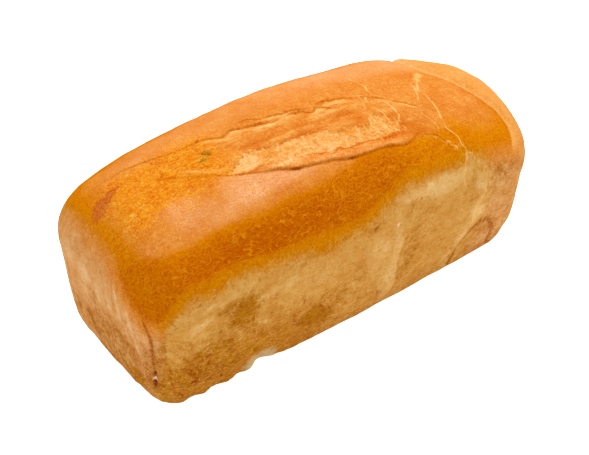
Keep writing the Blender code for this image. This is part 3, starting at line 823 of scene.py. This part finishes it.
class Wire:
    # One socket of a node tree. Sums on it add Math nodes.
    def __init__(self, tree, socket=None):
        self.tree, self.socket = tree, socket

    def node(self, kind, settings=None, output=0, **values):
        # Settings are set first. Values go by socket name, with _ for a space, or s0, s1 by number.
        made = self.tree.nodes.new(kind)
        for name, value in (settings or {}).items():
            setattr(made, name, value)
        for name, value in values.items():
            key = int(name[1:]) if name[0] == "s" and name[1:].isdigit() else name.replace("_", " ")
            if isinstance(value, Wire):
                self.tree.links.new(value.socket, made.inputs[key])
            else:
                made.inputs[key].default_value = value
        return Wire(self.tree, made.outputs[output])

    def math(self, operation, a, b=0.0):
        return self.node("ShaderNodeMath", {"operation": operation}, s0=a, s1=b)

    def vector(self, operation, *values, output=0):
        values = {f"s{number}": value for number, value in enumerate(values)}
        return self.node("ShaderNodeVectorMath", {"operation": operation}, output, **values)

    def mix(self, factor, a, b):  # colour a at 0 and colour b at 1
        return self.node("ShaderNodeMix", {"data_type": "RGBA"}, output=2, s0=factor, s6=a, s7=b)

    def stripe(self, inner, outer):  # 1 within inner of zero, easing to 0 at outer
        return 1 - self.math("ABSOLUTE", self).ramp(inner, outer)

    def ramp(self, start, end):  # 0 at start to 1 at end, eased
        settings = {"interpolation_type": "SMOOTHSTEP"}
        return self.node("ShaderNodeMapRange", settings, Value=self, From_Min=start, From_Max=end)

    def plug(self, value, shader, socket):
        self.tree.links.new(value.socket, shader.inputs[socket])

    def __add__(self, other): return self.math("ADD", self, other)
    def __radd__(self, other): return self.math("ADD", other, self)
    def __sub__(self, other): return self.math("SUBTRACT", self, other)
    def __rsub__(self, other): return self.math("SUBTRACT", other, self)
    def __mul__(self, other): return self.math("MULTIPLY", self, other)
    def __rmul__(self, other): return self.math("MULTIPLY", other, self)
    def __truediv__(self, other): return self.math("DIVIDE", self, other)


def linear(red, green, blue):  # a display colour of 0 to 255 as the linear colour that shaders use
    share = np.array((red, green, blue)) / 255
    curve = np.where(share <= 0.04045, share / 12.92, ((share + 0.055) / 1.055) ** 2.4)
    return (*curve.tolist(), 1.0)


def newMaterial(name, values):  # a material, a wire in its tree and its shader with these values
    material = bpy.data.materials.new(name)
    material.use_nodes = True
    tree = material.node_tree
    shader = tree.nodes["Principled BSDF"]
    for socket, value in values.items():
        shader.inputs[socket].default_value = value
    return material, Wire(tree), shader


def layerOf(wire, name):  # the three numbers of a layer
    vector = wire.node("ShaderNodeAttribute", {"attribute_name": name}, output=1)
    return [wire.node("ShaderNodeSeparateXYZ", output=axis, Vector=vector) for axis in range(3)]


def speckle(wire, place, size, detail=2.0, rough=0.5, stretch=(1.0, 1.0, 1.0)):  # noise about zero
    moved = wire.vector("MULTIPLY", place, stretch)
    noise = wire.node("ShaderNodeTexNoise", Vector=moved, Scale=1 / size, Detail=detail, Roughness=rough)
    return noise - 0.5


crust = {
    # Colours as they would show in plain white light. Those with End are the pinker ends' own.
    "pale": linear(198, 141, 64), "paleEnd": linear(207, 148, 88),
    "foot": linear(176, 110, 24), "footEnd": linear(182, 118, 56),
    # Cream and stain are also laid as painted light and painted shade on either side of the wall's ridges.
    "creamAndLight": linear(218, 172, 104), "creamAndLightEnd": linear(220, 174, 122),
    "edge": linear(194, 116, 0), "edgeEnd": linear(208, 128, 48),
    # The darkest brown, for the loaf's very foot, is a painted contact shadow.
    "stainAndShade": linear(164, 100, 8), "raw": linear(190, 160, 108), "soleShadow": linear(126, 72, 14),
    "brown": linear(203, 116, 0), "deep": linear(180, 84, 0), "top": linear(210, 127, 48),
    # The flush is pinker crust with a painted sheen on it. The roll's colour is lightened, partly as painted
    # light on its down-turned slope.
    "glow": linear(215, 126, 24), "flushAndSheen": linear(222, 150, 90), "roll": linear(219, 137, 62),
    # The pale line past the rim groove is a painted highlight.
    "rim": linear(218, 147, 72), "rimHighlight": linear(234, 180, 104), "fibre": linear(218, 136, 50),
    # The crack and gap browns are painted shade in cracks, grooves and under the roll.
    "torn": linear(238, 184, 118), "crack": linear(190, 96, 0), "gap": linear(136, 52, 0),
    "lip": linear(230, 168, 90), "hair": linear(238, 180, 104), "crackle": linear(238, 160, 22),
    # The fold, slit and pit browns are painted shade in the creases, the corner slit and the small holes.
    "red": linear(188, 92, 30), "green": linear(146, 90, 4), "fold": linear(156, 80, 4),
    "slitShade": linear(124, 36, 6), "pit": linear(152, 88, 12), "glint": linear(252, 226, 180),
}


noises = {  # size in millimetres, detail and roughness
    "soft": (9.0, 3.0, 0.5), "mid": (3.5, 3.0, 0.6), "fine": (1.6, 2.0, 0.7), "grit": (0.75, 1.0, 0.7),
    "grain": (14.0, 5.0, 0.95), "jag": (2.4, 3.0, 0.7),
}
crackleCells = {  # millimetres; they are long along the slant, by the stretch
    "size": 3.5, "slant": (0.45, 0.35, 0.82), "stretch": 0.6, "warp": 3.0,
}


def crustMaterial():
    # Each coat is a mask, made of the layers' values and noise, and the colour that it lays on the
    # last: the name of one, or a mix.
    material, wire, shader = newMaterial("crust", {
        "Roughness": 0.7, "Coat Roughness": 0.4, "Specular IOR Level": 0.0,
    })
    place = wire.node("ShaderNodeTexCoord", output=3)
    place = wire.vector("MULTIPLY", place, (1 / metres,) * 3)
    rise, deep, flushAndSheen = layerOf(wire, "browned")
    glow, foot, pink = layerOf(wire, "glowing")
    crackOffs, crackOpens = layerOf(wire, "crackOff"), layerOf(wire, "crackOpen")
    lipOffs, lipOpens = layerOf(wire, "lipOff"), layerOf(wire, "lipOpen")
    inside, crumbPale, wormy = layerOf(wire, "torn")
    hairOff, hair, past = layerOf(wire, "hair")
    stainAndShade, creamAndLight, pit = layerOf(wire, "marked")
    foldOff, foldShade, raw = layerOf(wire, "crease")
    red, green, glint = layerOf(wire, "spotted")
    crackle, onRoll, folds = layerOf(wire, "skin")

    soft, mid, fine, grit, grain, jag = (speckle(wire, place, *values) for values in noises.values())
    streak = speckle(wire, place, 3.0, 4.0, 0.8, (0.25, 0.7, 0.7)) * (1 - pink)
    streak = streak + speckle(wire, place, 3.0, 3.0, 0.7, (0.3, 0.9, 0.12)) * pink
    onWall = 1 - rise.ramp(-4.0, 4.0)

    def sided(name):  # a colour of the long walls, and of the ends
        return wire.mix(pink, crust[name], crust[name + "End"])

    # The walls, from the tin's pale middle to its browner foot, then the brown crust over them.
    height = wire.node("ShaderNodeSeparateXYZ", output=2, Vector=place)
    stainedAndShaded = stainAndShade + 0.6 * soft + 0.9 * mid + 0.5 * streak + 0.5 * fine
    high = rise + 5 * soft + 7 * mid + 4 * fine
    onTop = (high + 14 * soft - 45 * deep).ramp(10.0, 32.0)
    # The flush mask: pinker crust with painted sheen, and a glossier coat there.
    flushSheenMask = (flushAndSheen + 1.3 * mid + 0.8 * fine).ramp(0.2, 0.95)
    beyond = past + 1.5 * mid
    # Past the rim groove: a painted highlight along the roll's crest, and painted shade on the groove's near
    # side.
    ridge = beyond.ramp(0.0, 0.8) * (1 - beyond.ramp(1.0, 3.5)) * rise.ramp(-2.0, 8.0)
    grooveShade = beyond.ramp(-5.0, -0.6) * (1 - beyond.ramp(-0.6, 0.6)) * rise.ramp(-2.0, 8.0)
    coats = [
        ((foot + 0.8 * soft + 0.8 * mid).ramp(0.0, 1.0), sided("foot")),
        # Cream and stains, with painted light and painted shade beside the wall's ridges.
        ((creamAndLight + 0.8 * soft + 0.6 * streak - 0.05).ramp(0.0, 0.9), sided("creamAndLight")),
        (stainedAndShaded.ramp(0.05, 1.05), "stainAndShade"),
        (raw, "raw"),
        # A painted contact shadow along the loaf's lowest few millimetres.
        ((1 - (height + 6 * mid).ramp(0.5, 5.5)) * 0.75, "soleShadow"),
        ((high + 4 * pink).ramp(-6.0 - 4 * pink, 4.0 + 4 * pink), sided("edge")),
        (high.ramp(1.0, 11.0), "brown"),
        ((deep + 0.5 * mid + 0.4 * fine).ramp(0.0, 1.05), "deep"),
        (onTop, "top"),
        (glow, "glow"),
        # Painted sheen on the pinker flush.
        (flushSheenMask, "flushAndSheen"),
        (beyond.ramp(-1.0, 5.0) * high.ramp(-10.0, 6.0), "rim"),
        (ridge * 0.5, "rimHighlight"),
        (grooveShade * 0.35, "crack"),
        # The roll lightened, partly its own orange and partly painted light on its down-turned slope.
        (onRoll, "roll"),
    ]

    # The torn crumb, with ragged edges and a painted shadow line round them, darker along the roll.
    edge = inside + 7 * jag + 2 * fine
    torn = edge.ramp(-0.6, 1.0)
    crumb = (crumbPale + 3.4 * fine + 3.6 * mid - 0.25).ramp(0.0, 1.0)
    coats += [
        (torn, "fibre"),
        (torn * crumb, "torn"),
        ((edge + 0.3).stripe(0.2, 1.1) * (0.35 + 0.45 * onRoll), "crack"),
    ]

    # Pale lips, thin pale cracks, then the dark ones, which are painted shade in the cracks, deepest where
    # they gape, and a painted shadow under the roll. Those on golden crust are golden.
    golden = (1 - onWall) * (1 - rise.ramp(24.0, 34.0))
    paleSkin = wire.mix((deep + glow + wormy + golden).ramp(0.0, 0.4), crust["lip"], crust["crackle"])
    for off, open_, line in zip(lipOffs, lipOpens, lips):
        lip = ((off + 3.0 * jag) / line["width"]).stripe(0.3, 1.2)
        lip = lip * (open_ + 1.8 * fine + 1.8 * mid).ramp(0.2, 0.9)
        coats.append((lip * 0.9, wire.mix(golden, crust["lip"], crust["crackle"])))
    thin = (hairOff + 1.2 * jag).stripe(0.2, 0.8) * hair * (0.9 + 1.2 * mid).ramp(0.3, 0.9)
    coats.append((thin * (0.9 - 0.5 * onWall), wire.mix(golden * 0.4, crust["hair"], crust["crackle"])))
    warped = wire.node("ShaderNodeTexNoise", output=1, Vector=place, Scale=0.15, Detail=1.5)
    warped = wire.vector("MULTIPLY_ADD", warped, (crackleCells["warp"],) * 3, place)
    # The crackle's cells are long in one slanting direction.
    slant = Vector(crackleCells["slant"]).normalized()
    along = wire.vector("DOT_PRODUCT", warped, slant, output=1)
    stretched = wire.vector("MULTIPLY_ADD", along * -crackleCells["stretch"], slant, warped)
    cell = wire.node("ShaderNodeTexVoronoi", {"feature": "DISTANCE_TO_EDGE"},
                     Vector=stretched, Scale=1 / crackleCells["size"])
    lines = (1 - cell.ramp(0.0, 0.05)) * (soft + 1.5 * mid).ramp(-0.25, 0.15)
    crackled = lines * rise.ramp(0.0, 5.0) * (1 - torn)
    coats.append((crackled * (0.1 + 0.28 * crackle), "crackle"))
    for off, open_ in zip(crackOffs[:2], crackOpens[:2]):
        paintedShade = ((off + 2.6 * jag) / (0.35 + 0.6 * open_)).stripe(0.3, 1.3) * (open_ + mid).ramp(0.05, 0.4)
        coats.append((paintedShade * 0.8, "crack"))
        coats.append((paintedShade * (open_ + 2.5 * fine).ramp(0.9, 1.3) * 0.35, "gap"))
    # Under the roll, the lower crack's painted shadow.
    gape = crackOpens[2]
    under = (crackOffs[2] + 1.6 * jag) / (0.4 + 0.9 * gape)
    crease = (foldOff + 1.6 * jag).stripe(0.2, 1.2)
    coats += [
        (under.stripe(0.1, 1.5) * gape.ramp(0.0, 0.7) * 0.7, "crack"),
        (under.stripe(0.1, 0.7) * (gape + 1.5 * mid).ramp(0.8, 1.2) * 0.8, "gap"),
        (red * 0.9, "red"),
        (green * 0.9, "green"),
        # Painted shade down the creases, in the corner slit and in the small holes.
        (crease * (foldShade * (1 + 0.5 * mid)).ramp(0.0, 0.7) * 0.95, "fold"),
        (crease * foldShade.ramp(0.8, 1.05), "slitShade"),
        (pit * 0.9, "pit"),
        (glint, "glint"),
    ]
    colour = sided("pale")
    for mask, coat in coats:
        colour = wire.mix(mask, colour, crust.get(coat, coat))

    # The skin's thickness changes everywhere a little, which changes how far it browned.
    rough = 1.3 + 0.9 * torn + 0.7 * flushSheenMask + 0.7 * glow + 0.4 * wormy + 0.6 * onRoll - 0.3 * deep
    rough = rough - 0.4 * onWall * (1 - foot)
    thick = (fine * 0.5 + grit * 0.5) * rough + grain * (0.4 + 0.8 * (onTop + onWall))
    thick = thick + mid * (0.2 * wormy + 0.4 * glow + 0.5 * flushSheenMask)
    thick = thick + onWall * (streak * (0.35 + 0.25 * pink) + soft * 0.2 + mid * foot * 0.5)
    thick = 1 + thick - folds * 0.5
    colour = wire.vector("POWER", colour, wire.node("ShaderNodeCombineXYZ", X=thick, Y=thick, Z=thick))

    # Short pale strokes on it.
    worm = speckle(wire, warped, 2.2, 0.0, 0.5, (0.5, 1.1, 1.1))
    fleck = worm.stripe(0.015, 0.08) * (mid + fine).ramp(-0.15, 0.15)
    strokes = 0.1 + 0.2 * wormy + 0.35 * glow + 0.4 * flushSheenMask + 0.3 * torn + 0.4 * deep
    strokes = strokes + onWall * (0.2 + 0.2 * foot)
    colour = wire.mix(fleck * strokes, colour, paleSkin)
    wire.plug(colour, shader, "Base Color")

    bump = fine * 0.35 + grit * 0.2 - lines * 0.06 + fleck * 0.03 + mid * (0.2 * wormy + 0.5 * torn)
    normal = wire.node("ShaderNodeBump", Height=bump * metres, Strength=1.0, Distance=1.0)
    wire.plug(normal, shader, "Normal")
    wire.plug(0.01 + flushSheenMask * 0.2 * (1 - torn), shader, "Coat Weight")
    return material


studio = {
    "azimuth": -36.8, "elevation": 39.2, "distance": 746.5,
    "aimAcross": -5.3, "aimUp": -9.3, "aimHeight": 50.0, "shiftBack": 1.86,
    "lens": 84.0, "sensor": 36.0,
    "keyAim": (0.3, 0.2, 0.9), "keyAway": 1.2, "keySize": 1.3, "keyPower": 11.0, "keyHeight": 0.06,
    "sky": 0.8, "floorGlow": 0.4, "floorHalf": 6.0,
}


def makeFloor():  # a wide plate under the loaf
    mesh = bpy.data.meshes.new("floor")
    half = studio["floorHalf"]
    corners = [(-half, -half, 0), (half, -half, 0), (half, half, 0), (-half, half, 0)]
    mesh.from_pydata(corners, [], [(0, 1, 2, 3)])
    floor = newObject("floor", mesh)
    material, wire, shader = newMaterial("paleFloor", {
        "Base Color": (0.85, 0.85, 0.85, 1.0), "Roughness": 0.9, "Specular IOR Level": 0.1,
        "Emission Strength": 1.0,
    })
    # The camera sees it plain white, and the loaf is lit by its glow.
    seen = wire.node("ShaderNodeLightPath")
    glow = (studio["floorGlow"],) * 3 + (1.0,)
    wire.plug(wire.mix(seen, glow, (1.0, 1.0, 1.0, 1.0)), shader, "Emission Color")
    mesh.materials.append(material)


def makeLight(name, place, aim, size, power):  # a round light at a place, turned to the aim
    light = bpy.data.lights.new(name, "AREA")
    light.shape, light.size, light.energy = "DISK", size, power
    item = newObject(name, light)
    item.location = place
    item.rotation_euler = (Vector(aim) - Vector(place)).to_track_quat("-Z", "Y").to_euler()


def makeCamera():  # back from its aim by azimuth and elevation, the aim shifted across its view
    turn, lift = math.radians(studio["azimuth"]), math.radians(studio["elevation"])
    back = Vector((math.sin(turn) * math.cos(lift), -math.cos(turn) * math.cos(lift), math.sin(lift)))
    right = Vector((math.cos(turn), math.sin(turn), 0.0))
    up = back.cross(right)
    aim = Vector((-studio["shiftBack"], 0, studio["aimHeight"]))
    aim = (aim + right * studio["aimAcross"] + up * studio["aimUp"]) * metres
    camera = newObject("camera", bpy.data.cameras.new("camera"))
    camera.data.lens = studio["lens"]
    camera.data.sensor_width = studio["sensor"]
    camera.matrix_world = Matrix.Translation(aim + back * studio["distance"] * metres) @ Matrix(
        (right, up, back)).transposed().to_4x4()
    bpy.context.scene.camera = camera


def makeWorld():  # an even white sky
    world = bpy.data.worlds.new("studio")
    bpy.context.scene.world = world
    world.use_nodes = True
    background = world.node_tree.nodes["Background"]
    background.inputs["Color"].default_value = (1, 1, 1, 1)
    background.inputs["Strength"].default_value = studio["sky"]


print("loaf")
bread = makeLoaf()
bread.data.materials.append(crustMaterial())
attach(bread, "root")
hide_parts("loaf")

print("studio")
makeFloor()
makeWorld()
keyPlace = Vector(studio["keyAim"]).normalized() * studio["keyAway"]
makeLight("key", keyPlace, (0, 0, studio["keyHeight"]), studio["keySize"], studio["keyPower"])
makeCamera()
bpy.context.scene.view_settings.view_transform = "Standard"
